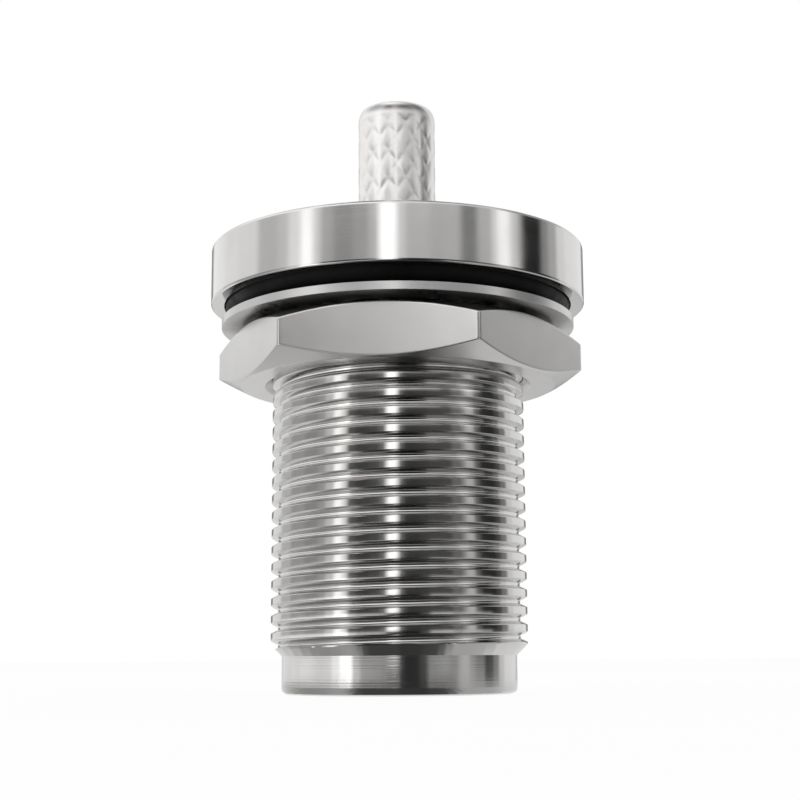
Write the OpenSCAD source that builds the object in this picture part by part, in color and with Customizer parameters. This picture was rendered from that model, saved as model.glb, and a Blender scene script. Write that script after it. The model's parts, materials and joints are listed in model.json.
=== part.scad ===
// Coaxial bulkhead jack, size N, crimp type, standing on its mating face.
// The origin is the centre of the mating face. +Z runs along the axis to the crimp stem.
// All lengths are in millimetres.

/* [Mating end] */
// Diameter of the plain nose in front of the thread
nose_d = 14.5; // [13.6:0.1:14.6]
// Height of the plain nose
nose_h = 2.3; // [1.6:0.1:3]
// Bevel round the nose's outer edge
nose_bevel = 0.3; // [0.1:0.05:0.5]
// Diameter of the socket that takes the plug's outer contact
jack_bore_d = 8.08; // [8.03:0.01:8.4]
// Depth of that socket, from the mating face to its step
jack_depth = 9.1; // [8.5:0.1:10]
// Bevel round the socket's mouth
mouth_bevel = 0.45; // [0.2:0.05:0.7]
// Diameter of the air line behind the step
air_bore_d = 7; // [6:0.1:7.6]
// Length of the air line
air_len = 2.4; // [1.5:0.1:3.5]

/* [Thread] */
// Outer diameter of the thread
thread_d = 15.875; // [15.4:0.025:16.2]
// Distance from one groove to the next
thread_pitch = 1.0583; // [0.9:0.0001:1.3]
// Depth of the grooves
thread_depth = 0.45; // [0.35:0.01:0.65]
// Flat at the bottom of each groove
thread_root = 0.12; // [0.05:0.01:0.2]
// Length of plain neck between the thread and the flange
relief_len = 1.6; // [1:0.1:2.5]

/* [Flange] */
// Height of the panel seat above the mating face
seat_h = 24.2; // [21:0.1:30]
// Diameter of the flange
flange_d = 23.8; // [23.5:0.1:28]
// Thickness of the flange
flange_t = 3.6; // [2.6:0.1:5]
// Bevel round the flange's edges
flange_bevel = 0.12; // [0.05:0.01:0.3]

/* [Sealing ring] */
// Inner diameter of the ring
seal_inner_d = 18; // [17.8:0.1:18.2]
// Thickness of the ring's round section
seal_section_d = 2; // [1.8:0.05:2.1]
// How far the ring stands out of its groove
seal_proud = 0.9; // [0.7:0.05:1.1]

/* [Lock washer] */
// How far the washer's edge lies inside the nut's corners
washer_inset = 0.45; // [0:0.05:0.8]
// Thickness of the sheet
washer_t = 0.5; // [0.4:0.05:0.6]
// Number of teeth
tooth_count = 16; // [12:1:18]
// Width of a tooth
tooth_w = 2.1; // [1.6:0.1:2.3]
// Twist of a tooth out of the sheet, in degrees
tooth_twist = 14; // [8:1:30]

/* [Nut] */
// Width across the flats
nut_af = 20.2; // [19:0.1:22]
// Thickness of the nut
nut_t = 3.35; // [2.5:0.05:4.5]
// How far the round face on each side lies inside the flats
nut_face_inset = 0.15; // [-0.3:0.05:0.5]
// Angle of the corner bevels, in degrees
nut_bevel_deg = 27; // [15:1:32]
// Bevel where the thread enters the nut
nut_lead = 0.5; // [0.3:0.05:0.7]
// Turn of the nut about the axis, in degrees
nut_turn_deg = -6.5; // [-30:0.5:30]

/* [Crimp stem] */
// Diameter of the stem
stem_d = 5; // [4.6:0.1:6]
// Length of the stem behind the flange
stem_len = 9.75; // [7:0.05:14]
// Diameter of the cable's way through the stem
stem_bore_d = 3.95; // [3.2:0.05:4]
// Width of the bevel round the stem's end
stem_bevel = 0.45; // [0.1:0.05:0.45]
// Length of the bevel round the stem's end
stem_bevel_len = 0.9; // [0.2:0.05:1.5]
// Diameter of the collar pressed into the flange
collar_d = 12; // [11:0.1:13]
// Thickness of the collar
collar_t = 1.8; // [1.2:0.1:2.2]

/* [Insulators] */
// Diameter of both insulators
insulator_d = 10; // [9.4:0.1:10.4]
// Length of the front insulator
front_insulator_len = 5.6; // [4:0.1:7]

/* [Centre contact] */
// Diameter of the contact
contact_d = 3.04; // [2.6:0.02:3.2]
// Distance from the mating face back to the contact's tip
contact_tip = 5; // [4.5:0.1:6]
// Diameter of the hole for the plug's pin
pin_hole_d = 1.7; // [1.5:0.02:1.9]
// Depth of the hole for the plug's pin
pin_hole_len = 6; // [5.2:0.1:7]
// Length of the contact's slots
slot_len = 4.6; // [3.5:0.1:5]
// Width of the contact's slots
slot_w = 0.3; // [0.15:0.01:0.3]
// Diameter of the shoulder that holds the contact
shoulder_d = 4.2; // [3.8:0.1:4.6]
// Length of the shoulder
shoulder_len = 1; // [0.6:0.1:1.5]
// Length of the solder pot behind the shoulder
pot_len = 4.2; // [3:0.1:4.6]
// Diameter of the hole in the solder pot
pot_hole_d = 1.5; // [1:0.05:1.8]
// Diameter of the solder window in the pot's side
window_d = 0.9; // [0.5:0.05:1]

/* [Fits] */
// Clearance round pieces that are pressed or laid in place
seat_gap = 0.02; // [0.01:0.01:0.05]
// Clearance round the nut and under the washer
running_gap = 0.05; // [0.03:0.01:0.1]
// Clearance between the washer's teeth and the barrel
tooth_gap = 0.3; // [0.2:0.05:0.5]

/* [Hidden] */

CIRCLE = 96;          // facets of a preview circle
HEX = 6;              // sides of the nut
THREAD_FLANK = 30;    // angle of a thread flank to the radial plane, in degrees
SLOTS = 4;            // slots in the spring contact
CUT = 1;              // how far a cutting shape runs past what it cuts
POT_FLOOR = 0.6;      // solid length left between the shoulder and the pot's hole
NECK_STEP = 0.15;     // how far the plain neck lies under the groove bottoms
TOOTH_ROOT = 0.1;     // how far a tooth runs into the washer's rim

function slope(run, angle) = run * tan(angle);

// Radii
nose_r = nose_d / 2;
thread_r = thread_d / 2;
neck_r = thread_r - thread_depth - NECK_STEP;
flange_r = flange_d / 2;
stem_r = stem_d / 2;
collar_r = collar_d / 2;
insulator_r = insulator_d / 2;
contact_r = contact_d / 2;
seal_half = seal_section_d / 2;
seal_r = seal_inner_d / 2 + seal_half;
nut_bore_r = thread_r + running_gap;
nut_corner_r = nut_af / 2 / cos(180 / HEX);
washer_r = nut_corner_r - washer_inset;

// Heights along the axis, from the mating face up
thread_end_z = seat_h - relief_len;
flange_top = seat_h + flange_t;
insulator_z = jack_depth + air_len;
shoulder_z = insulator_z + front_insulator_len;
pot_z = shoulder_z + shoulder_len;
collar_z = flange_top - collar_t;
stem_top = flange_top + stem_len;
seal_z = seat_h - seal_proud + seal_half;

// The washer lies under the sealing ring, and the nut under the washer's teeth
washer_top = seat_h - seal_proud - running_gap;
washer_mid = washer_top - washer_t / 2;
tooth_reach = (tooth_w * sin(tooth_twist) + washer_t * cos(tooth_twist)) / 2;
tooth_in_r = thread_r + tooth_gap;
washer_in_r = seal_inner_d / 2;
nut_top = washer_mid - tooth_reach - running_gap;
nut_z = nut_top - nut_t;

// One V groove of the thread is cut by a ring of this half width at the outer diameter
groove_half = thread_root / 2 + slope(thread_depth, THREAD_FLANK);
thread_lead = thread_r - nose_r;
groove_from = nose_h + thread_lead + thread_pitch / 2;
neck_bevel_z = thread_end_z - (thread_r - neck_r);
groove_count = floor((neck_bevel_z - groove_half - groove_from) / thread_pitch) + 1;

// A tube between two heights
module tube(outer_r, inner_r, z0, z1) {
    translate([0, 0, z0])
        difference() {
            cylinder(r = outer_r, h = z1 - z0, $fn = CIRCLE);
            translate([0, 0, -CUT])
                cylinder(r = inner_r, h = z1 - z0 + 2 * CUT, $fn = CIRCLE);
        }
}

// A round cutter between two heights
module bore(radius, z0, z1) {
    translate([0, 0, z0])
        cylinder(r = radius, h = z1 - z0, $fn = CIRCLE);
}

// A cone between two heights
module cone(r0, r1, z0, z1) {
    translate([0, 0, z0])
        cylinder(r1 = r0, r2 = r1, h = z1 - z0, $fn = CIRCLE);
}

// Outline of one groove of the thread, centred at height z
function groove(z) = [
    [thread_r, z - groove_half],
    [thread_r - thread_depth, z - thread_root / 2],
    [thread_r - thread_depth, z + thread_root / 2],
    [thread_r, z + groove_half]
];

// Half outline of the barrel and flange: nose, grooved thread, plain neck, flange
function shell_outline() = concat(
    [[0, 0], [nose_r - nose_bevel, 0], [nose_r, nose_bevel], [nose_r, nose_h],
     [thread_r, nose_h + thread_lead]],
    [for (i = [0 : groove_count - 1]) each groove(groove_from + i * thread_pitch)],
    [[thread_r, neck_bevel_z], [neck_r, thread_end_z],
     [neck_r, seat_h], [flange_r - flange_bevel, seat_h],
     [flange_r, seat_h + flange_bevel], [flange_r, flange_top - flange_bevel],
     [flange_r - flange_bevel, flange_top], [0, flange_top]]
);

// Barrel, nose and flange, turned from one bar
module shell() {
    color([0.78, 0.77, 0.74])
        difference() {
            rotate_extrude($fn = CIRCLE) polygon(shell_outline());
            bore(jack_bore_d / 2, -CUT, jack_depth);
            cone(jack_bore_d / 2 + mouth_bevel + CUT, jack_bore_d / 2, -CUT, mouth_bevel);
            bore(air_bore_d / 2, 0, insulator_z + CUT);
            bore(insulator_r + seat_gap, insulator_z, flange_top + CUT);
            bore(collar_r + seat_gap, collar_z, flange_top + CUT);
            tube(seal_r + seal_half + running_gap, seal_r - seal_half - running_gap,
                 seat_h - CUT, seal_z + seal_half + seat_gap);
        }
}

// Knurled stem that the cable's braid is crimped on, pressed into the flange
module crimp_stem() {
    color([0.82, 0.81, 0.79])
        difference() {
            union() {
                bore(collar_r, collar_z + seat_gap, flange_top);
                bore(stem_r, flange_top - seat_gap, stem_top - stem_bevel_len);
                cone(stem_r, stem_r - stem_bevel, stem_top - stem_bevel_len, stem_top);
            }
            bore(stem_bore_d / 2, collar_z - CUT, stem_top + CUT);
        }
}

// Round rubber ring, half sunk in the flange's groove
module seal_ring() {
    color([0.05, 0.05, 0.05])
        rotate_extrude($fn = CIRCLE)
            translate([seal_r, seal_z])
                circle(d = seal_section_d, $fn = CIRCLE);
}

// Internal-tooth lock washer: a flat rim with twisted teeth
module lock_washer() {
    tooth_len = washer_in_r + TOOTH_ROOT - tooth_in_r;
    color([0.72, 0.71, 0.69])
        union() {
            tube(washer_r, washer_in_r, washer_top - washer_t, washer_top);
            for (i = [0 : tooth_count - 1])
                rotate([0, 0, 360 * i / tooth_count])
                    translate([tooth_in_r + tooth_len / 2, 0, washer_mid])
                        rotate([tooth_twist, 0, 0])
                            cube([tooth_len, tooth_w, washer_t], center = true);
        }
}

// Hexagon nut with its corners bevelled on both faces
module hex_nut() {
    face_r = nut_af / 2 - nut_face_inset;
    drop = slope(nut_corner_r - face_r + CUT, nut_bevel_deg);
    color([0.8, 0.79, 0.77])
        difference() {
            intersection() {
                translate([0, 0, nut_z])
                    rotate([0, 0, nut_turn_deg])
                        cylinder(r = nut_corner_r, h = nut_t, $fn = HEX);
                rotate_extrude($fn = CIRCLE)
                    polygon([[0, nut_z], [face_r, nut_z], [nut_corner_r + CUT, nut_z + drop],
                             [nut_corner_r + CUT, nut_top - drop], [face_r, nut_top],
                             [0, nut_top]]);
            }
            bore(nut_bore_r, nut_z - CUT, nut_top + CUT);
            cone(nut_bore_r + nut_lead + CUT, nut_bore_r, nut_z - CUT, nut_z + nut_lead);
            cone(nut_bore_r, nut_bore_r + nut_lead + CUT, nut_top - nut_lead, nut_top + CUT);
        }
}

// Front insulator, between the air line and the contact's shoulder
module front_insulator() {
    color([0.95, 0.94, 0.9])
        tube(insulator_r, contact_r + seat_gap, insulator_z + seat_gap, shoulder_z);
}

// Rear insulator, which traps the contact's shoulder and takes the cable's insulation
module rear_insulator() {
    color([0.95, 0.94, 0.9])
        difference() {
            bore(insulator_r, shoulder_z + seat_gap, collar_z);
            bore(contact_r + seat_gap, shoulder_z, collar_z + CUT);
            bore(shoulder_d / 2 + seat_gap, shoulder_z, pot_z + seat_gap);
            bore(stem_bore_d / 2, pot_z + pot_len + seat_gap, collar_z + CUT);
        }
}

// Gold-plated spring contact, slotted in front and with a solder pot behind
module center_contact() {
    tip_bevel = (contact_d - pin_hole_d) / 5;
    color([0.9, 0.72, 0.35])
        difference() {
            union() {
                cone(contact_r - tip_bevel, contact_r, contact_tip, contact_tip + tip_bevel);
                bore(contact_r, contact_tip + tip_bevel, pot_z + pot_len);
                bore(shoulder_d / 2, shoulder_z + seat_gap, pot_z);
            }
            bore(pin_hole_d / 2, contact_tip - CUT, contact_tip + pin_hole_len);
            cone(pin_hole_d / 2 + tip_bevel + CUT, pin_hole_d / 2,
                 contact_tip - CUT, contact_tip + tip_bevel);
            for (i = [0 : SLOTS / 2 - 1])
                rotate([0, 0, 45 + 180 * i / (SLOTS / 2)])
                    translate([-contact_d, -slot_w / 2, contact_tip - CUT])
                        cube([2 * contact_d, slot_w, slot_len + CUT]);
            bore(pot_hole_d / 2, pot_z + POT_FLOOR, pot_z + pot_len + CUT);
            translate([0, 0, pot_z + (POT_FLOOR + pot_len) / 2])
                rotate([90, 0, 0])
                    cylinder(d = window_d, h = contact_d, $fn = CIRCLE);
        }
}

shell();
crimp_stem();
seal_ring();
lock_washer();
hex_nut();
front_insulator();
rear_insulator();
center_contact();
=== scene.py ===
# Looks of the size N bulkhead jack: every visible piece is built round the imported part.
import json
import math

import bmesh
import bpy
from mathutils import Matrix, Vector, noise

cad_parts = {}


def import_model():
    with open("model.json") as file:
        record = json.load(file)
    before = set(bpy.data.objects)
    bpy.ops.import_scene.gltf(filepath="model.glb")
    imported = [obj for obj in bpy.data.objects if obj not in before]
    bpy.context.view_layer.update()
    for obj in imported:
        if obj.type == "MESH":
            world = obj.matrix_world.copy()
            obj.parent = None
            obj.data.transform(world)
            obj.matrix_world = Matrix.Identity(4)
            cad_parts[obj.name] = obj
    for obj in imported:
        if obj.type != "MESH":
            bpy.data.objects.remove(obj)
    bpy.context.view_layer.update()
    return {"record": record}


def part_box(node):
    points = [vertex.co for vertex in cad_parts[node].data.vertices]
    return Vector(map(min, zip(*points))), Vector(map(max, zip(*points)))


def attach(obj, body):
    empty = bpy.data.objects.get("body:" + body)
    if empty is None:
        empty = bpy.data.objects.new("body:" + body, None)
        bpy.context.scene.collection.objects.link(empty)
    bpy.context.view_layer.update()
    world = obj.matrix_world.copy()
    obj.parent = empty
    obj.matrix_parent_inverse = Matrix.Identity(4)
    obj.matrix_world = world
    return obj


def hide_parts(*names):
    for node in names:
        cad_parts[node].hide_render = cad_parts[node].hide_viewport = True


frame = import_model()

MM = 0.001  # metres in a millimetre: the sizes below are in millimetres, angles in degrees

# ---------------------------------------------------------------------------
# Sizes that the frame gives
# ---------------------------------------------------------------------------

MOUNTS = {mount["name"]: mount for mount in frame["record"]["mounts"]}


def span(node):
    """The largest radius, lowest and highest point of a node, in millimetres."""
    low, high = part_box(node)
    return high.x / MM, low.z / MM, high.z / MM


def mount_z(name):
    return MOUNTS[name]["pos_m"][2] / MM


FLANGE_R, NOSE_Z, FLANGE_TOP = span("shell")
COLLAR_R, COLLAR_Z, STEM_TOP = span("crimp_stem")
SEAL_OUT_R, SEAL_LOW, SEAL_HIGH = span("seal_ring")
WASHER_R, TOOTH_LOW, TOOTH_HIGH = span("lock_washer")
_, NUT_Z, NUT_TOP = span("hex_nut")
BEAD_R, BEAD_Z, SHOULDER_Z = span("front_insulator")
REAR_BEAD_R, REAR_BEAD_Z, REAR_BEAD_TOP = span("rear_insulator")
SHOULDER_R, TIP_Z, POT_TOP = span("center_contact")
SEAT_Z = mount_z("panel_seat")
STEM_R = MOUNTS["crimp_barrel"]["dims"]["r_mm"]
CABLE_R = MOUNTS["cable_bore"]["dims"]["r_mm"]
PIN_HOLE_R = MOUNTS["contact_socket"]["dims"]["r_mm"]

# ---------------------------------------------------------------------------
# Sizes that the frame doesn't give
# ---------------------------------------------------------------------------

GAP = 0.02            # clearance round pieces laid or pressed in place
NOSE_R = 7.25         # plain nose below the thread
NOSE_H = 2.3
JACK_R = 4.04         # socket for the plug's outer contact
JACK_DEPTH = 9.1
MOUTH = 0.45          # bevel round the socket's mouth
AIR_R = 3.5           # bore between the socket and the front insulator
THREAD_R = 7.9375     # 5/8-24 UNEF
PITCH = 1.0583
THREAD_DEPTH = 0.45
THREAD_ROOT = 0.12
THREAD_FLANK = 30.0
THREAD_CROWN = 0.06   # how far the crest falls away at its edges
THREAD_PHASE = 17.98  # height of a groove's centre on the thread's front line
FRONT = -90.0         # direction of that line
NECK_R = 7.3375       # plain neck under the flange
RELIEF = 1.6          # length of the neck
NUT_AF = 20.2         # across flats
NUT_FACE_R = 9.95     # radius at which the bevel starts
NUT_BEVEL = 27.0      # angle of the bevel to the face
NUT_LEAD = 0.5        # bevel of the bore at both faces
NUT_TURN = -6.5       # direction of the nut's first corner
NUT_PLAY = 0.04       # clearance between the two threads
NUT_CORNER_ROUND = 0.25
WASHER_T = 0.5
TOOTH_COUNT = 16
TOOTH_W = 2.1
TOOTH_TWIST = 14.0
TOOTH_IN_R = 8.2375
SEAL_SECTION_R = (SEAL_HIGH - SEAL_LOW) / 2
SEAL_R = SEAL_OUT_R - SEAL_SECTION_R
RIM_R = SEAL_R - SEAL_SECTION_R  # the washer's rim is as wide as the sealing ring
SHOULDER_LEN = 1.0
CONTACT_R = 1.52
PIN_HOLE_LEN = 6.0
SLOT_W = 0.3
SLOT_LEN = 4.6
POT_HOLE_R = 0.75
POT_FLOOR = 0.6       # from the shoulder to the solder pot's floor
KNURL_DEPTH = 0.042
KNURL_WEAR = 2.6      # patches of wear to a radius
KNURL_STARTS = 14     # ridges of each hand round the stem
KNURL_ANGLE = 32.0    # angle of a ridge to the stem's axis
KNURL_MARGIN = 0.5    # plain stretch above the flange
END_IN = 0.45         # how far the stem's end rounds inwards
END_DOWN = 0.9        # how far below the stem's top that starts

FILLET_SHARE = 0.4    # most of a side that one fillet takes
BAND = 0.08           # width of the band beside a fillet
BAND_SHARE = 0.08     # most of a side that one band takes
WELD = 1e-4           # points closer than this are one
SHARP = 24.0          # faces that meet at more than this show an edge


# ---------------------------------------------------------------------------
# Building meshes
# ---------------------------------------------------------------------------

def even_angles(count, start=0.0):
    return [start + 360.0 * i / count for i in range(count)]


def fillet(points, steps=3):
    """A closed outline of (r, z, fillet radius) corners, with each corner turned into an arc.

    A narrow band runs along each side of an arc, which keeps the shading of the faces beyond it flat.
    """
    out = []
    for k, (r, z, radius) in enumerate(points):
        here = Vector((r, z))
        before = Vector(points[k - 1][:2]) - here
        after = Vector(points[(k + 1) % len(points)][:2]) - here
        if radius <= 0 or before.length < WELD or after.length < WELD:
            out.extend([(r, z)] * (steps + 3 if radius > 0 else 1))
            continue
        half = before.angle(after) / 2
        reach = min(radius / math.tan(half), before.length * FILLET_SHARE, after.length * FILLET_SHARE)
        start = here + before.normalized() * reach
        end = here + after.normalized() * reach
        inwards = (before.normalized() + after.normalized()).normalized()
        centre = here + inwards * reach / math.cos(half)
        arc = []
        for s in range(steps + 1):
            arm = (start - centre).lerp(end - centre, s / steps)
            arc.append(centre + arm.normalized() * (start - centre).length)
        first = start + before.normalized() * min(BAND, before.length * BAND_SHARE)
        last = end + after.normalized() * min(BAND, after.length * BAND_SHARE)
        out.extend((point.x, point.y) for point in [first, *arc, last])
    return out


def lathe(rows, angles, closed=True):
    """Points and faces of a turned surface. A row is (r, z), or a function of the angle that gives it,
    and a helical row is (function, partner): its last point joins the first point of its partner row."""
    verts = []
    partner = []
    for j, row in enumerate(rows):
        helical = isinstance(row, tuple) and callable(row[0])
        shape = row[0] if helical else row
        partner.append(row[1] if helical else j)
        for angle in angles:
            r, z = shape(angle) if callable(shape) else shape
            turn = math.radians(angle)
            verts.append((r * math.cos(turn), r * math.sin(turn), z))
    n = len(angles)
    faces = []
    for j in range(len(rows) if closed else len(rows) - 1):
        k = (j + 1) % len(rows)
        for i in range(n):
            if i < n - 1:
                faces.append((j * n + i, j * n + i + 1, k * n + i + 1, k * n + i))
            else:
                faces.append((j * n + i, partner[j] * n, partner[k] * n, k * n + i))
    return verts, faces


def thread_samples():
    """Heights over one pitch, from one crest's middle to the next, with the fall from the crest."""
    half_root = THREAD_ROOT / 2
    half_groove = half_root + THREAD_DEPTH * math.tan(math.radians(THREAD_FLANK))
    side = [
        (half_root * 0.5, THREAD_DEPTH),
        (half_root * 1.5, THREAD_DEPTH * 0.955),
        ((half_root + half_groove) / 2, THREAD_DEPTH * 0.47),
        (half_groove - THREAD_CROWN * 0.8, THREAD_CROWN * 1.15),
        (half_groove - THREAD_CROWN * 0.25, THREAD_CROWN * 0.3),
        (half_groove + THREAD_CROWN * 0.2, THREAD_CROWN * 0.06),
        (half_groove + THREAD_CROWN, THREAD_CROWN * 0.02),
    ]
    return [(-x, fall) for x, fall in reversed(side)] + side + [(PITCH / 2, 0.0)]


def helix(low, high, start, limit, radius, first_row):
    """Helical rows between two heights.

    radius(fall) is the thread's own radius, and limit(radius, z) cuts it back where the thread ends.
    """
    middle = THREAD_PHASE - PITCH * FRONT / 360
    lift = PITCH * start / 360
    samples = thread_samples()
    first = math.floor((low - middle - PITCH - lift) / PITCH) - 1
    last = math.ceil((high - middle - lift) / PITCH) + 1
    heights = [(middle + k * PITCH + x, fall) for k in range(first, last + 1) for x, fall in samples]

    def row(height, fall):
        def at(angle):
            z = min(max(height + PITCH * angle / 360, low), high)
            return limit(radius(fall), z), z
        return at

    final = first_row + len(heights) - 1
    return [(row(height, fall), min(first_row + k + len(samples), final))
            for k, (height, fall) in enumerate(heights)]


def between(z, z0, z1, a, b):
    """a at z0 and below, b at z1 and above, and straight between them."""
    share = min(max((z - z0) / (z1 - z0), 0.0), 1.0)
    return a + (b - a) * share


def piece(name, verts, faces, node, body, material, sharp=SHARP):
    """A finished piece that stands for a CAD node and rides on its body."""
    mesh = bpy.data.meshes.new(name)
    mesh.from_pydata([tuple(c * MM for c in v) for v in verts], [], faces)
    work = bmesh.new()
    work.from_mesh(mesh)
    bmesh.ops.remove_doubles(work, verts=work.verts, dist=WELD * MM)
    bmesh.ops.dissolve_degenerate(work, edges=work.edges, dist=WELD * MM)
    bmesh.ops.recalc_face_normals(work, faces=work.faces)
    work.to_mesh(mesh)
    work.free()
    mesh.shade_smooth()
    mesh.set_sharp_from_angle(angle=math.radians(sharp))
    obj = bpy.data.objects.new(name, mesh)
    bpy.context.collection.objects.link(obj)
    obj.data.materials.append(material)
    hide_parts(node)
    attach(obj, body)
    return obj


# ---------------------------------------------------------------------------
# Materials
# ---------------------------------------------------------------------------

class Shader:
    """A Principled material and short ways to add nodes to it."""

    def __init__(self, name, colour, metallic, roughness, **sockets):
        self.material = bpy.data.materials.new(name)
        self.material.use_nodes = True
        self.nodes = self.material.node_tree.nodes
        self.links = self.material.node_tree.links
        self.main = self.nodes["Principled BSDF"]
        self.main.inputs["Base Color"].default_value = (*colour, 1)
        self.main.inputs["Metallic"].default_value = metallic
        self.main.inputs["Roughness"].default_value = roughness
        for socket, value in sockets.items():
            self.main.inputs[socket.replace("_", " ")].default_value = value
        self.place = self.nodes.new("ShaderNodeTexCoord").outputs["Object"]

    def math(self, kind, a, b):
        node = self.nodes.new("ShaderNodeMath")
        node.operation = kind
        for socket, value in zip(node.inputs, (a, b)):
            if isinstance(value, (int, float)):
                socket.default_value = value
            else:
                self.links.new(value, socket)
        return node.outputs[0]

    def noise(self, scale, detail=2.0, along=None):
        """Noise through the object, or along one number. scale is in marks a metre."""
        node = self.nodes.new("ShaderNodeTexNoise")
        node.inputs["Detail"].default_value = detail
        node.inputs["Scale"].default_value = scale
        if along is None:
            self.links.new(self.place, node.inputs["Vector"])
        else:
            node.noise_dimensions = "1D"
            self.links.new(along, node.inputs["W"])
        return node.outputs[0]

    def spread(self, value, low, high, edges=(0.3, 0.7)):
        """low to high as a value goes from one edge to the other."""
        node = self.nodes.new("ShaderNodeMapRange")
        node.inputs["From Min"].default_value, node.inputs["From Max"].default_value = edges
        node.inputs["To Min"].default_value, node.inputs["To Max"].default_value = low, high
        self.links.new(value, node.inputs["Value"])
        return node.outputs["Result"]

    def tint(self, value, low, high, edges=(0.3, 0.7)):
        """Base colour between two colours as a value goes from one edge to the other."""
        ramp = self.nodes.new("ShaderNodeValToRGB")
        ramp.color_ramp.elements[0].position, ramp.color_ramp.elements[1].position = edges
        ramp.color_ramp.elements[0].color = (*low, 1)
        ramp.color_ramp.elements[1].color = (*high, 1)
        self.links.new(value, ramp.inputs["Fac"])
        self.links.new(ramp.outputs["Color"], self.main.inputs["Base Color"])

    def rough(self, value, low, high):
        self.links.new(self.spread(value, low, high), self.main.inputs["Roughness"])

    def bump(self, height, depth_mm):
        """Raises the surface by up to depth_mm; bumps stack."""
        node = self.nodes.new("ShaderNodeBump")
        node.inputs["Strength"].default_value = 1.0
        node.inputs["Distance"].default_value = depth_mm * MM
        self.links.new(height, node.inputs["Height"])
        last = self.main.inputs["Normal"]
        if last.is_linked:
            self.links.new(last.links[0].from_socket, node.inputs["Normal"])
        self.links.new(node.outputs["Normal"], last)

    def radius_and_height(self):
        parts = self.nodes.new("ShaderNodeSeparateXYZ")
        self.links.new(self.place, parts.inputs[0])
        x, y, z = parts.outputs
        square = self.math("ADD", self.math("MULTIPLY", x, x), self.math("MULTIPLY", y, y))
        return self.math("SQRT", square, 0), z

    def turning(self):
        """A number that grows along the axis and outwards, so that its bands are a lathe's marks."""
        return self.math("ADD", *self.radius_and_height())


def grey(level, warmth=0.0):
    return (level * (1 + warmth), level, level * (1 - warmth))


def turned_plate(name, level, roughness, marks_mm, warmth=0.01):
    """Plated metal with fine lathe marks, faint clouding and a few handling smudges."""
    s = Shader(name, grey(level, warmth), 1.0, roughness)
    s.tint(s.noise(220, 3), grey(level * 0.95, warmth * 1.6), grey(level * 1.04, warmth))
    s.rough(s.noise(380, 4), roughness * 0.75, roughness * 1.35)
    s.bump(s.noise(9000, 2, along=s.turning()), marks_mm)
    s.bump(s.noise(1500, 3), marks_mm * 0.8)
    return s.material


def washer_plate_with_painted_shade(name, level, roughness, rim_mm):
    """Plated spring steel: a bright rim, with painted shade on the teeth inside it, where they sit in
    the dark gap between the rim and the nut.
    """
    s = Shader(name, grey(level, 0.01), 1.0, roughness)
    # Painted shade: inside the rim's radius the base colour drops to 0.12 of the rim's, to stand in for
    # the shade between the washer and the nut.
    rim = s.spread(s.radius_and_height()[0], 0.0, 1.0, ((rim_mm - 0.1) * MM, (rim_mm + 0.1) * MM))
    s.tint(rim, grey(level * 0.12, 0.01), grey(level, 0.01), (0.0, 1.0))
    s.rough(s.noise(380, 4), roughness * 0.8, roughness * 1.3)
    s.bump(s.noise(9000, 2, along=s.turning()), 0.0012)
    return s.material


def satin_plate(name, level, roughness, grain_mm, warmth=0.01):
    """Plated metal over a tumbled surface: an even satin with fine pits."""
    s = Shader(name, grey(level, warmth), 1.0, roughness)
    s.tint(s.noise(300, 2), grey(level * 0.98, warmth * 1.5), grey(level * 1.02, warmth))
    s.rough(s.noise(700, 2), roughness * 0.94, roughness * 1.08)
    s.bump(s.noise(14000, 3), grain_mm)
    return s.material


def seal_rubber():
    s = Shader("seal_rubber", grey(0.004), 0.0, 0.5, Specular_IOR_Level=0.12)
    s.tint(s.noise(500, 4), grey(0.003), grey(0.006))
    s.rough(s.noise(900, 3), 0.42, 0.6)
    s.bump(s.noise(6000, 3), 0.004)
    return s.material


def insulator_white():
    s = Shader("insulator_white", grey(0.84, 0.012), 0.0, 0.42, Subsurface_Weight=0.12,
               Subsurface_Radius=(0.0006, 0.0006, 0.0005))
    s.tint(s.noise(260, 3), grey(0.8, 0.016), grey(0.87, 0.01))
    s.rough(s.noise(500, 3), 0.36, 0.5)
    s.bump(s.noise(5200, 2, along=s.turning()), 0.006)
    return s.material


def contact_gold():
    s = Shader("contact_gold", (0.86, 0.62, 0.27), 1.0, 0.2)
    s.tint(s.noise(420, 3), (0.8, 0.55, 0.22), (0.89, 0.66, 0.31))
    s.rough(s.noise(800, 3), 0.15, 0.27)
    s.bump(s.noise(11000, 2, along=s.turning()), 0.0016)
    return s.material


# ---------------------------------------------------------------------------
# Pieces
# ---------------------------------------------------------------------------

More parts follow.
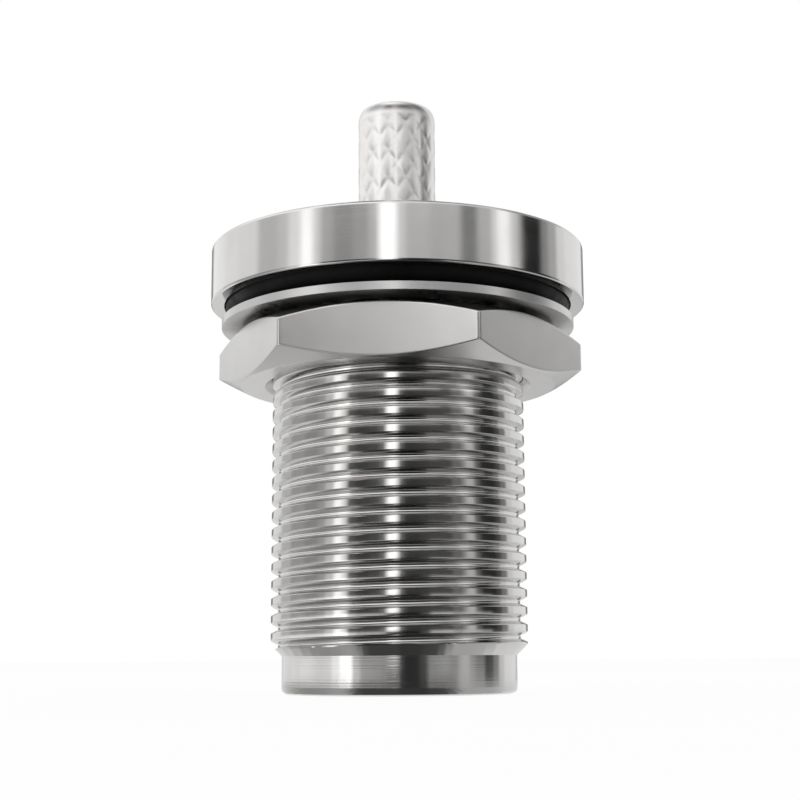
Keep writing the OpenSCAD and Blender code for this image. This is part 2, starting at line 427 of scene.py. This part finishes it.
def barrel_and_flange(material):
    """Nose, helical thread, neck, flange with the ring's groove, and the stepped bore inside."""
    angles = even_angles(192)
    thread_low, thread_high = NOSE_H, SEAT_Z - RELIEF
    lead_top = thread_low + THREAD_R - NOSE_R
    neck_bevel = thread_high - (THREAD_R - NECK_R)

    def limit(radius, z):
        lead = between(z, thread_low, lead_top, NOSE_R, THREAD_R)
        run_out = between(z, neck_bevel, thread_high, THREAD_R, NECK_R)
        return min(radius, lead, run_out)

    groove_play = 0.05
    groove_in = SEAL_R - SEAL_SECTION_R - groove_play
    groove_out = SEAL_R + SEAL_SECTION_R + groove_play
    groove_top = SEAL_HIGH + GAP
    lower = fillet([
        (JACK_R, JACK_DEPTH, 0.05),
        (JACK_R, MOUTH, 0.08),
        (JACK_R + MOUTH, NOSE_Z, 0.08),
        (NOSE_R, NOSE_Z, 0.36),
        (NOSE_R, NOSE_H, 0),
    ])
    upper = fillet([
        (NECK_R, thread_high, 0),
        (NECK_R, SEAT_Z, 0.15),
        (groove_in, SEAT_Z, 0.05),
        (groove_in, groove_top, 0.1),
        (groove_out, groove_top, 0.1),
        (groove_out, SEAT_Z, 0.05),
        (FLANGE_R, SEAT_Z, 0.12),
        (FLANGE_R, FLANGE_TOP, 0.12),
        (COLLAR_R + GAP, FLANGE_TOP, 0.1),
        (COLLAR_R + GAP, COLLAR_Z - GAP, 0),
        (BEAD_R + GAP, COLLAR_Z - GAP, 0),
        (BEAD_R + GAP, BEAD_Z - GAP, 0),
        (AIR_R, BEAD_Z - GAP, 0),
        (AIR_R, JACK_DEPTH, 0.05),
    ])
    thread = helix(thread_low, thread_high, angles[0], limit,
                   lambda fall: THREAD_R - fall, len(lower))
    verts, faces = lathe(lower + thread + upper, angles)
    return piece("barrel_and_flange", verts, faces, "shell", "jack", material)


def knurled_stem(material):
    """Stem with a diamond knurl, its rounded end, and the collar pressed into the flange."""
    angles = even_angles(168)
    low, high = FLANGE_TOP + KNURL_MARGIN, STEM_TOP - END_DOWN
    twist = 360 * math.tan(math.radians(KNURL_ANGLE)) / (2 * math.pi * STEM_R)
    steps = 150
    run_out = 0.5  # over which the knurl fades at both ends
    end_steps = 8

    def ridges(angle, z, hand):
        """Height of one set of ridges, from 0 in a groove to 1 on a ridge."""
        wave = math.sin(math.radians((angle + hand * twist * z) * KNURL_STARTS) / 2)
        return 1 - (1 - abs(wave)) ** 1.6

    def wear(angle, z):
        """How much of the knurl is left under the plating, which differs from place to place."""
        turn = math.radians(angle)
        place = Vector((math.cos(turn), math.sin(turn), z / STEM_R)) * KNURL_WEAR
        return 0.6 + 0.8 * noise.noise(place)

    def row(z):
        fade = min(between(z, low, low + run_out, 0, 1), between(z, high - run_out, high, 1, 0))

        def at(angle):
            cut = 1 - ridges(angle, z, 1) * ridges(angle, z, -1)
            return STEM_R - KNURL_DEPTH * fade * cut * wear(angle, z), z
        return at

    base = fillet([
        (CABLE_R, COLLAR_Z, 0),
        (COLLAR_R, COLLAR_Z, 0),
        (COLLAR_R, FLANGE_TOP, 0.12),
        (STEM_R, FLANGE_TOP, 0.12),
        (STEM_R, low, 0),
    ])
    end = []
    for k in range(1, end_steps + 1):
        turn = math.radians(90 * k / end_steps)
        end.append((STEM_R - END_IN * (1 - math.cos(turn)), high + END_DOWN * math.sin(turn)))
    end += [(CABLE_R, STEM_TOP - 0.05), (CABLE_R, FLANGE_TOP)]
    knurl = [row(low + (high - low) * k / steps) for k in range(steps + 1)]
    verts, faces = lathe(base + knurl + end, angles)
    return piece("knurled_stem", verts, faces, "crimp_stem", "jack", material, sharp=50)


def sealing_ring(material):
    """Moulded rubber ring with a faint parting line round its inside."""
    middle = (SEAL_HIGH + SEAL_LOW) / 2
    flash = 0.03  # the mould's parting line stands this far proud
    rows = []
    for angle in even_angles(60):
        turn = math.radians(angle)
        parting = math.exp(-((angle - 180) / 5) ** 2)
        radius = SEAL_SECTION_R - flash * (1 - parting)
        rows.append((SEAL_R + radius * math.cos(turn), middle + radius * math.sin(turn)))
    verts, faces = lathe(rows, even_angles(192))
    return piece("sealing_ring", verts, faces, "seal_ring", "jack", material, sharp=180)


def toothed_washer(material):
    """Flat rim with teeth that twist more and more towards their tips."""
    pitch = 360.0 / TOOTH_COUNT
    middle = (TOOTH_LOW + TOOTH_HIGH) / 2
    root = math.degrees(TOOTH_W / 2 / RIM_R)
    across = [-1, -0.6, -0.2, 0.2, 0.6, 1]
    gaps = [root + (pitch - 2 * root) * k / 7 for k in range(1, 7)]
    angles = [pitch * t + a for t in range(TOOTH_COUNT) for a in [root * x for x in across] + gaps]
    ring_rows = [RIM_R, RIM_R + 0.12, (RIM_R + WASHER_R) / 2, WASHER_R - 0.06, WASHER_R]
    verts, faces = [], []
    for r in ring_rows:
        for a in angles:
            turn = math.radians(a)
            verts.append((r * math.cos(turn), r * math.sin(turn), middle))
    n = len(angles)
    for j in range(len(ring_rows) - 1):
        for i in range(n):
            k = (i + 1) % n
            faces.append((j * n + i, j * n + k, (j + 1) * n + k, (j + 1) * n + i))
    depth = 7
    for t in range(TOOTH_COUNT):
        turn = math.radians(pitch * t)
        out = Vector((math.cos(turn), math.sin(turn), 0))
        side = Vector((-math.sin(turn), math.cos(turn), 0))
        above = [t * (len(across) + len(gaps)) + i for i in range(len(across))]
        for d in range(1, depth + 1):
            share = d / depth
            r = RIM_R + (TOOTH_IN_R - RIM_R) * share
            lean = math.radians(TOOTH_TWIST) * min(1.0, share * 1.6)
            here = []
            for x in across:
                width = x * TOOTH_W / 2 * (1 - 0.06 * share)
                point = out * r + side * width * math.cos(lean)
                verts.append((point.x, point.y, middle + width * math.sin(lean)))
                here.append(len(verts) - 1)
            for i in range(len(across) - 1):
                faces.append((above[i], above[i + 1], here[i + 1], here[i]))
            above = here
    obj = piece("toothed_washer", verts, faces, "lock_washer", "washer", material)
    sheet = obj.modifiers.new("sheet", "SOLIDIFY")
    sheet.thickness = WASHER_T * MM
    sheet.offset = 0
    edge = obj.modifiers.new("edge", "BEVEL")
    edge.width = 0.05 * MM
    edge.segments = 2
    edge.limit_method = "ANGLE"
    edge.angle_limit = math.radians(50)
    edge.harden_normals = True
    return obj


def bevelled_nut(material):
    """Hexagon with rounded corners, bevelled on both faces, over a helical thread."""
    sector = 60.0
    near = [0, 0.25, 0.5, 0.8, 1.4, 2.5]
    inner = [4 + 4 * k for k in range(14)]
    offsets = near + inner + [sector - a for a in reversed(near[1:])]
    angles = [NUT_TURN + sector * k + a for k in range(6) for a in offsets]
    corner_r = NUT_AF / 2 / math.cos(math.radians(sector / 2))
    arc_centre = corner_r - NUT_CORNER_ROUND / math.sin(math.radians(60))
    run = NUT_CORNER_ROUND / math.tan(math.radians(60))
    arc_reach = math.degrees(math.atan2(run * math.sin(math.radians(60)),
                                        corner_r - run * math.cos(math.radians(60))))

    def side_r(angle):
        off = (angle - NUT_TURN + sector / 2) % sector - sector / 2
        turn = math.radians(off)
        if abs(off) < arc_reach:
            return arc_centre * math.cos(turn) + math.sqrt(
                NUT_CORNER_ROUND ** 2 - (arc_centre * math.sin(turn)) ** 2)
        return NUT_AF / 2 / math.cos(math.radians(sector / 2 - abs(off)))

    bevel = math.tan(math.radians(NUT_BEVEL))
    least = 0.05  # the smallest edge break, where the bevel misses the flats

    def section(angle):
        r = side_r(angle)
        face_r = min(NUT_FACE_R, r - least / bevel)
        drop = (r - face_r) * bevel
        return fillet([
            (face_r, NUT_TOP, 0.12),
            (r, NUT_TOP - drop, 0.07),
            (r, NUT_Z + drop, 0.07),
            (face_r, NUT_Z, 0.12),
            (THREAD_R + NUT_LEAD, NUT_Z, 0),
            (THREAD_R + NUT_LEAD, NUT_TOP, 0),
        ], steps=2)

    outlines = {angle: section(angle) for angle in angles}
    count = len(outlines[angles[0]])
    outside = [(lambda angle, k=k: outlines[angle][k]) for k in range(count)]

    def inner_limit(radius, z):
        wide, narrow, run_in = THREAD_R + NUT_LEAD, THREAD_R - NUT_LEAD, 2 * NUT_LEAD
        lead_low = between(z, NUT_Z, NUT_Z + run_in, wide, narrow)
        lead_high = between(z, NUT_TOP - run_in, NUT_TOP, narrow, wide)
        return max(radius, lead_low, lead_high)

    thread = helix(NUT_Z, NUT_TOP, angles[0], inner_limit,
                   lambda fall: THREAD_R - fall + NUT_PLAY, 0)
    verts, faces = lathe(thread + outside, angles)
    return piece("bevelled_nut", verts, faces, "hex_nut", "nut", material, sharp=16)


def front_bead(material):
    """Centres the contact behind the air line."""
    rows = fillet([
        (CONTACT_R + GAP, BEAD_Z, 0.08),
        (BEAD_R, BEAD_Z, 0.08),
        (BEAD_R, SHOULDER_Z, 0.05),
        (CONTACT_R + GAP, SHOULDER_Z, 0.05),
    ])
    verts, faces = lathe(rows, even_angles(128))
    return piece("front_bead", verts, faces, "front_insulator", "jack", material)


def rear_bead(material):
    """Traps the contact's shoulder in front and takes the cable's insulation behind."""
    shoulder_top = REAR_BEAD_Z + SHOULDER_LEN
    rows = fillet([
        (SHOULDER_R + GAP, REAR_BEAD_Z, 0.05),
        (REAR_BEAD_R, REAR_BEAD_Z, 0.05),
        (REAR_BEAD_R, REAR_BEAD_TOP, 0.08),
        (CABLE_R, REAR_BEAD_TOP, 0.1),
        (CABLE_R, POT_TOP + GAP, 0.03),
        (CONTACT_R + GAP, POT_TOP + GAP, 0.03),
        (CONTACT_R + GAP, shoulder_top, 0.03),
        (SHOULDER_R + GAP, shoulder_top, 0.03),
    ])
    verts, faces = lathe(rows, even_angles(128))
    return piece("rear_bead", verts, faces, "rear_insulator", "jack", material)


def cut_away(obj, verts, faces):
    """Takes a closed shape out of a piece."""
    mesh = bpy.data.meshes.new("cutter")
    mesh.from_pydata([tuple(c * MM for c in v) for v in verts], [], faces)
    cutter = bpy.data.objects.new("cutter", mesh)
    bpy.context.collection.objects.link(cutter)
    cut = obj.modifiers.new("cut", "BOOLEAN")
    cut.operation = "DIFFERENCE"
    cut.solver = "EXACT"
    cut.object = cutter
    depsgraph = bpy.context.evaluated_depsgraph_get()
    result = bpy.data.meshes.new_from_object(obj.evaluated_get(depsgraph))
    obj.modifiers.clear()
    old, obj.data = obj.data, result
    bpy.data.meshes.remove(old)
    bpy.data.objects.remove(cutter)
    bpy.data.meshes.remove(mesh)


def box_shape(low, high):
    """Corners and faces of a box."""
    xs, ys, zs = zip(low, high)
    corners = [(x, y, z) for x in xs for y in ys for z in zs]
    sides = [(0, 1, 3, 2), (4, 6, 7, 5), (0, 4, 5, 1), (2, 3, 7, 6), (0, 2, 6, 4), (1, 5, 7, 3)]
    return corners, sides


def spring_contact(material):
    """Gold contact with a slotted socket in front, a shoulder, and a solder pot behind."""
    tip = (CONTACT_R - PIN_HOLE_R) * 0.4
    shoulder_top = SHOULDER_Z + SHOULDER_LEN
    rows = fillet([
        (0, TIP_Z + PIN_HOLE_LEN + 0.35, 0),
        (PIN_HOLE_R, TIP_Z + PIN_HOLE_LEN, 0),
        (PIN_HOLE_R, TIP_Z + tip, 0.1),
        (PIN_HOLE_R + tip, TIP_Z, 0.06),
        (CONTACT_R - tip, TIP_Z, 0.06),
        (CONTACT_R, TIP_Z + tip, 0.25),
        (CONTACT_R, SHOULDER_Z + GAP, 0.03),
        (SHOULDER_R, SHOULDER_Z + GAP, 0.08),
        (SHOULDER_R, shoulder_top, 0.08),
        (CONTACT_R, shoulder_top, 0.03),
        (CONTACT_R, POT_TOP, 0.12),
        (POT_HOLE_R, POT_TOP, 0.12),
        (POT_HOLE_R, shoulder_top + POT_FLOOR, 0),
        (0, shoulder_top + POT_FLOOR - 0.3, 0),
    ])
    verts, faces = lathe(rows, even_angles(96), closed=False)
    obj = piece("spring_contact", verts, faces, "center_contact", "jack", material)
    reach, half = CONTACT_R + 1, SLOT_W / 2
    arms = [box_shape((-reach, -half, TIP_Z - 1), (reach, half, TIP_Z + SLOT_LEN)),
            box_shape((-half, -reach, TIP_Z - 1), (half, reach, TIP_Z + SLOT_LEN))]
    turn = math.radians(45)
    for corners, sides in arms:
        turned = [(x * math.cos(turn) - y * math.sin(turn),
                   x * math.sin(turn) + y * math.cos(turn), z) for x, y, z in corners]
        cut_away(obj, turned, sides)
    obj.data.shade_smooth()
    obj.data.set_sharp_from_angle(angle=math.radians(SHARP))
    return obj


# ---------------------------------------------------------------------------
# Studio
# ---------------------------------------------------------------------------

STUDIO_R = 0.6        # metres from the axis to the walls
FLOOR_SIZE = 6.0      # metres
FLOOR_DROP = 0.00002  # metres by which the floor clears the nose, and the strips clear z = 0
FLOOR_GLOW = 0.93     # share of plain white in the floor that the camera and reflections see
AMBIENT = 0.8         # the plain level that the world lights matt surfaces at

# Strips of card and light round the set, seen only in reflections. An azimuth is in degrees from the
# camera's side, positive to the right. Each strip ends where the next one starts. Its six brightnesses
# are for the floor close to the object, the rest of the floor, eye level, above that, the top of the
# wall, and overhead.
STRIPS = [
    ("plain wall", -180, 0.8, 0.8, 1.0, 1.0, 1.0, 1.0),
    ("back flag", -172, 0.8, 0.8, 0.25, 0.3, 0.5, 1.0),
    ("plain wall", -156, 0.6, 0.95, 0.9, 1.05, 1.0, 1.0),
    ("plain wall", -130, 0.42, 1.05, 0.6, 1.0, 1.1, 0.7),
    ("grey card", -112, 0.36, 1.15, 0.42, 0.95, 1.2, 0.45),
    ("grey card", -92, 0.36, 1.1, 0.34, 0.62, 1.25, 0.35),
    ("grey card", -76, 0.42, 1.1, 0.42, 0.72, 1.3, 0.35),
    ("left lamp, outer part", -68, 0.45, 1.4, 0.7, 1.05, 1.4, 0.5),
    ("left lamp", -59, 0.45, 1.9, 1.5, 1.6, 1.4, 0.9),
    ("left lamp's edge", -51, 0.35, 2.4, 1.0, 0.92, 1.4, 0.4),
    ("dark card", -46, 0.12, 1.0, 0.1, 0.52, 1.35, 0.08),
    ("dark card", -38, 0.07, 0.65, 0.06, 0.36, 1.35, 0.05),
    ("dark card", -26, 0.07, 0.6, 0.085, 0.45, 1.35, 0.05),
    ("dark card", -17, 0.07, 0.5, 0.17, 0.64, 1.35, 0.08),
    ("middle lamp", -11, 0.07, 0.08, 1.4, 1.6, 1.3, 0.1),
    ("middle lamp, core", -8.5, 0.07, 0.08, 1.8, 1.8, 1.3, 1.1),
    ("middle lamp", -3, 0.07, 0.05, 1.4, 1.6, 1.2, 0.1),
    ("black card", 0, 0.05, 0.01, 0.14, 0.85, 1.15, 0.06),
    ("black card", 5, 0.05, 0.01, 0.05, 0.64, 1.1, 0.05),
    ("grey card", 19, 0.05, 0.1, 0.06, 0.58, 0.95, 0.05),
    ("grey card", 27, 0.07, 0.55, 0.075, 0.6, 0.9, 0.05),
    ("dark card", 38, 0.08, 0.6, 0.085, 0.26, 0.8, 0.05),
    ("grey card", 48, 0.2, 0.45, 0.18, 0.6, 0.8, 0.1),
    ("right lamp, outer part", 58, 0.5, 0.6, 0.35, 0.95, 0.85, 0.25),
    ("right lamp", 62, 0.5, 0.6, 0.6, 1.4, 0.85, 0.3),
    ("grey card", 71, 0.5, 0.5, 0.15, 0.85, 0.6, 0.15),
    ("grey card", 77, 0.5, 0.4, 0.04, 0.5, 0.5, 0.08),
    ("black card", 80, 0.5, 0.35, 0.03, 0.02, 0.4, 0.08),
    ("black card", 90, 0.5, 0.08, 0.03, 0.02, 0.4, 0.08),
    ("grey card", 96, 0.5, 0.1, 0.08, 0.33, 0.4, 0.15),
    ("grey card", 103, 0.55, 0.28, 0.24, 0.52, 0.5, 0.3),
    ("pale card", 112, 0.6, 0.7, 0.8, 0.9, 0.6, 0.5),
    ("plain wall", 122, 0.8, 0.9, 0.95, 1.0, 0.9, 0.9),
    ("back flag", 156, 0.8, 0.6, 0.25, 0.3, 0.5, 1.0),
    ("plain wall", 172, 0.8, 0.66, 1.0, 1.0, 1.0, 1.0),
]
STRIP_EDGE = 1.6      # degrees to each side over which one strip fades into the next
STRIP_FACES = 360     # faces round one ring

# Rings that the strips are drawn between: distance from the axis, elevation, and which of the six
# brightnesses holds there
RINGS = [
    (0.0071, 0, 0),
    (0.0085, 0, 0),
    (0.012, 0, 0),
    (0.02, 0, 0),
    (0.04, 0, 0),
    (0.055, 0, 1),
    (0.08, 0, 1),
    (0.15, 0, 1),
    (STUDIO_R, 0, 1),
    (STUDIO_R, 0.4, 1),
    (STUDIO_R, 1.0, 2),
    (STUDIO_R, 13, 2),
    (STUDIO_R, 15.3, 3),
    (STUDIO_R, 20, 3),
    (STUDIO_R, 23, 4),
    (STUDIO_R, 33, 4),
    (STUDIO_R, 41, 5),
    (STUDIO_R, 62, 5),
    (STUDIO_R, 68, 4),
    (STUDIO_R, 80, 4),
]


def studio_point(azimuth, radius, height):
    turn = math.radians(azimuth)
    return Vector((radius * math.sin(turn), -radius * math.cos(turn), height))


def strip_level(azimuth, which):
    """Brightness at an azimuth, with each strip's edges softened."""
    total = 0.0
    shares = (-1, -0.6, -0.2, 0.2, 0.6, 1)
    for share in shares:
        here = (azimuth + STRIP_EDGE * share + 180) % 360 - 180
        total += [strip for strip in STRIPS if strip[1] <= here][-1][2 + which]
    return total / len(shares)


def emission(name):
    """Glows as bright as the mesh's level attribute says."""
    material = bpy.data.materials.new(name)
    material.use_nodes = True
    nodes, links = material.node_tree.nodes, material.node_tree.links
    nodes.clear()
    level = nodes.new("ShaderNodeAttribute")
    level.attribute_name = "level"
    glow = nodes.new("ShaderNodeEmission")
    links.new(level.outputs["Color"], glow.inputs["Color"])
    links.new(glow.outputs[0], nodes.new("ShaderNodeOutputMaterial").inputs["Surface"])
    return material


def studio_strips():
    """The cards and strip lamps as one ring of wall and floor, which only reflections show."""
    count = STRIP_FACES
    verts, levels, faces = [], [], []
    for radius, elevation, which in RINGS:
        fan = 1 - NOSE_R * MM / (2 * radius)  # where a reflection in the barrel meets the floor
        height = max(radius * math.tan(math.radians(elevation)), FLOOR_DROP)
        for i in range(count):
            azimuth = -180 + 360 * i / count
            verts.append(studio_point(azimuth, radius, height))
            levels.append(strip_level(max(-180, min(179.9, azimuth / fan)), which))
    for j in range(len(RINGS) - 1):
        for i in range(count):
            k = (i + 1) % count
            faces.append((j * count + i, j * count + k, (j + 1) * count + k, (j + 1) * count + i))
    mesh = bpy.data.meshes.new("studio_strips")
    mesh.from_pydata(verts, [], faces)
    shade = mesh.color_attributes.new("level", "FLOAT_COLOR", "POINT")
    for item, level in zip(shade.data, levels):
        item.color = (level, level, level, 1)
    obj = bpy.data.objects.new("studio_strips", mesh)
    bpy.context.collection.objects.link(obj)
    obj.data.materials.append(emission("studio_strips"))
    obj.visible_camera = obj.visible_diffuse = obj.visible_shadow = False


def soft_lamp(name, azimuth, elevation, distance, size, brightness):
    """A square soft box that faces the object. Matt surfaces take their light and shade from these."""
    lamp = bpy.data.lights.new(name, "AREA")
    lamp.shape = "SQUARE"
    lamp.size = size
    lamp.energy = math.pi * size * size * brightness
    obj = bpy.data.objects.new(name, lamp)
    bpy.context.collection.objects.link(obj)
    height = distance * math.sin(math.radians(elevation))
    obj.location = studio_point(azimuth, distance * math.cos(math.radians(elevation)), height)
    aim = Vector((0, 0, STEM_TOP / 2 * MM)) - obj.location
    obj.rotation_euler = aim.to_track_quat("-Z", "Y").to_euler()
    obj.visible_camera = obj.visible_glossy = False


def seen_directly(nodes, links):
    """1 for what the camera, a reflection or glass sees, 0 for the light that a matt surface gets."""
    path = nodes.new("ShaderNodeLightPath")
    total = path.outputs["Is Camera Ray"]
    for name in ("Is Glossy Ray", "Is Transmission Ray"):
        more = nodes.new("ShaderNodeMath")
        more.operation = "MAXIMUM"
        links.new(total, more.inputs[0])
        links.new(path.outputs[name], more.inputs[1])
        total = more.outputs[0]
    return total


def floor():
    """Plain pale floor that keeps a soft shadow."""
    mesh = bpy.data.meshes.new("floor")
    half = FLOOR_SIZE / 2
    mesh.from_pydata([(-half, -half, 0), (half, -half, 0), (half, half, 0), (-half, half, 0)],
                     [], [(0, 1, 2, 3)])
    obj = bpy.data.objects.new("floor", mesh)
    bpy.context.collection.objects.link(obj)
    obj.location.z = -FLOOR_DROP
    material = bpy.data.materials.new("floor")
    material.use_nodes = True
    nodes, links = material.node_tree.nodes, material.node_tree.links
    matt = nodes["Principled BSDF"]
    matt.inputs["Base Color"].default_value = (0.86, 0.86, 0.86, 1)
    matt.inputs["Roughness"].default_value = 0.9
    glow = nodes.new("ShaderNodeEmission")
    share = nodes.new("ShaderNodeMath")
    share.operation = "MULTIPLY"
    share.inputs[1].default_value = FLOOR_GLOW
    mix = nodes.new("ShaderNodeMixShader")
    links.new(seen_directly(nodes, links), share.inputs[0])
    links.new(share.outputs[0], mix.inputs["Fac"])
    links.new(matt.outputs[0], mix.inputs[1])
    links.new(glow.outputs[0], mix.inputs[2])
    links.new(mix.outputs[0], nodes["Material Output"].inputs["Surface"])
    obj.data.materials.append(material)


def world():
    """White backdrop all round, and a plainer level for what it lights."""
    bpy.context.scene.world = bpy.data.worlds.new("backdrop")
    tree = bpy.context.scene.world
    tree.use_nodes = True
    nodes, links = tree.node_tree.nodes, tree.node_tree.links
    back = nodes["Background"]
    back.inputs["Color"].default_value = (1, 1, 1, 1)
    level = nodes.new("ShaderNodeMapRange")
    level.inputs["To Min"].default_value = AMBIENT
    level.inputs["To Max"].default_value = 1.0
    links.new(seen_directly(nodes, links), level.inputs["Value"])
    links.new(level.outputs["Result"], back.inputs["Strength"])


def camera():
    """Close in front of the nose, a little above the floor, and tilted up."""
    distance, height, tilt, roll = 0.09206, 0.00209, 9.855, 0.31
    data = bpy.data.cameras.new("camera")
    data.lens = 66.1
    data.sensor_width = 36
    data.shift_x = 0.0007
    data.shift_y = 0.005
    data.clip_start = 0.001
    data.clip_end = 20
    obj = bpy.data.objects.new("camera", data)
    bpy.context.collection.objects.link(obj)
    obj.location = (0, -distance, height)
    obj.rotation_euler = (math.radians(90 + tilt), math.radians(roll), 0)
    bpy.context.scene.camera = obj


bpy.context.scene.view_settings.view_transform = "Standard"
camera()
world()
floor()
studio_strips()
soft_lamp("key_lamp", azimuth=-55, elevation=40, distance=0.5, size=0.3, brightness=2.2)
soft_lamp("fill_lamp", azimuth=60, elevation=25, distance=0.5, size=0.25, brightness=1.2)

barrel_and_flange(turned_plate("bright_nickel", 0.64, 0.1, 0.0008))
knurled_stem(satin_plate("satin_nickel", 0.8, 0.3, 0.0008))
sealing_ring(seal_rubber())
toothed_washer(washer_plate_with_painted_shade("washer_nickel", 0.62, 0.3, RIM_R))
bevelled_nut(satin_plate("nut_nickel", 0.6, 0.25, 0.0003))
white = insulator_white()
front_bead(white)
rear_bead(white)
spring_contact(contact_gold())
